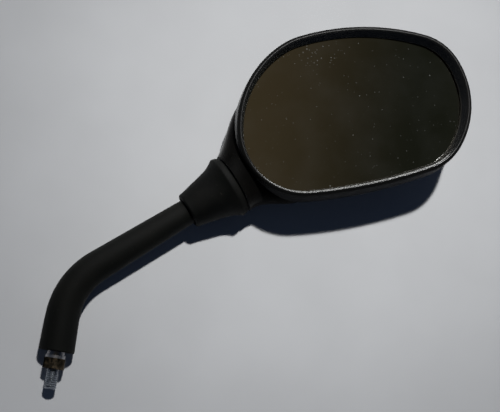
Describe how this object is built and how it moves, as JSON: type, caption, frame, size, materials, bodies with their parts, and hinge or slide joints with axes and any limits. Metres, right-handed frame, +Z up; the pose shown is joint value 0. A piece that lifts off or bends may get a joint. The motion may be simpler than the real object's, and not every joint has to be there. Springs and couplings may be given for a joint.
{
  "type": "motorcycle mirror",
  "caption": "Rear-view mirror for a motorcycle or scooter: rounded convex glass in a domed black housing on a ball joint, with a rubber boot, a bent arm and a threaded stud with lock nut.",
  "frame": {"origin": "on the stud's axis, at the lock nut's lower face, where the free thread begins", "axes": "+Z up the stud's axis into the arm, so the stud points to -Z; the arm bends towards +X; the glass looks to -Y"},
  "size_m": [0.2497, 0.0474, 0.2634],
  "materials": {
    "zinc_plated_steel": "zinc plated, satin",
    "browned_steel": "dull brown, lightly rusted",
    "spring_steel": "drawn wire",
    "moulded_arm_plastic": "satin black",
    "housing_plastic": "fine matt black",
    "bezel_plastic": "fine matt black",
    "liner_plastic": "smooth, natural",
    "boot_rubber": "matt black",
    "foam": "closed cell foam",
    "mirror_glass": "silvered at the back, dusty"
  },
  "bodies": {
    "arm": {"arm_rod": "zinc_plated_steel", "arm_sleeve": "moulded_arm_plastic", "pivot_ball": "zinc_plated_steel"},
    "boot_body": {"boot": "boot_rubber"},
    "liner": {"ball_liner_front": "liner_plastic", "ball_liner_back": "liner_plastic"},
    "head": {"ball_clamp": "zinc_plated_steel", "clamp_screws": "zinc_plated_steel", "clamp_springs": "spring_steel", "clamp_washers": "zinc_plated_steel", "housing": "housing_plastic", "bezel": "bezel_plastic", "mirror_glass": "mirror_glass", "foam_pad": "foam"},
    "washer": {"lock_washer": "zinc_plated_steel"},
    "nut": {"lock_nut": "browned_steel"}
  },
  "joints": [
    {"name": "neck_roll", "type": "hinge", "parent": "arm", "child": "boot_body", "pos_m": [0.11173, 0, 0.15065], "axis": [0.757, 0, 0.6534], "range_deg": [-90, 90]},
    {"name": "neck_tilt", "type": "hinge", "parent": "boot_body", "child": "liner", "pos_m": [0.11173, 0, 0.15065], "axis": [-0.6534, 0, 0.757], "range_deg": [-12, 12], "deforming": ["boot"]},
    {"name": "head_roll", "type": "hinge", "parent": "liner", "child": "head", "pos_m": [0.11173, 0, 0.15065], "axis": [0.757, 0, 0.6534], "continuous": true},
    {"name": "washer_slide", "type": "slide", "parent": "arm", "child": "washer", "axis": [0, 0, -1], "range_m": [0, 0.008]},
    {"name": "nut_turn", "type": "hinge", "parent": "washer", "child": "nut", "pos_m": [0, 0, 0], "axis": [0, 0, -1], "range_deg": [0, 2304]}
  ],
  "couplings": [
    {"joint": "washer_slide", "follows": "nut_turn", "m_per_rad": 0.00019894}
  ]
}
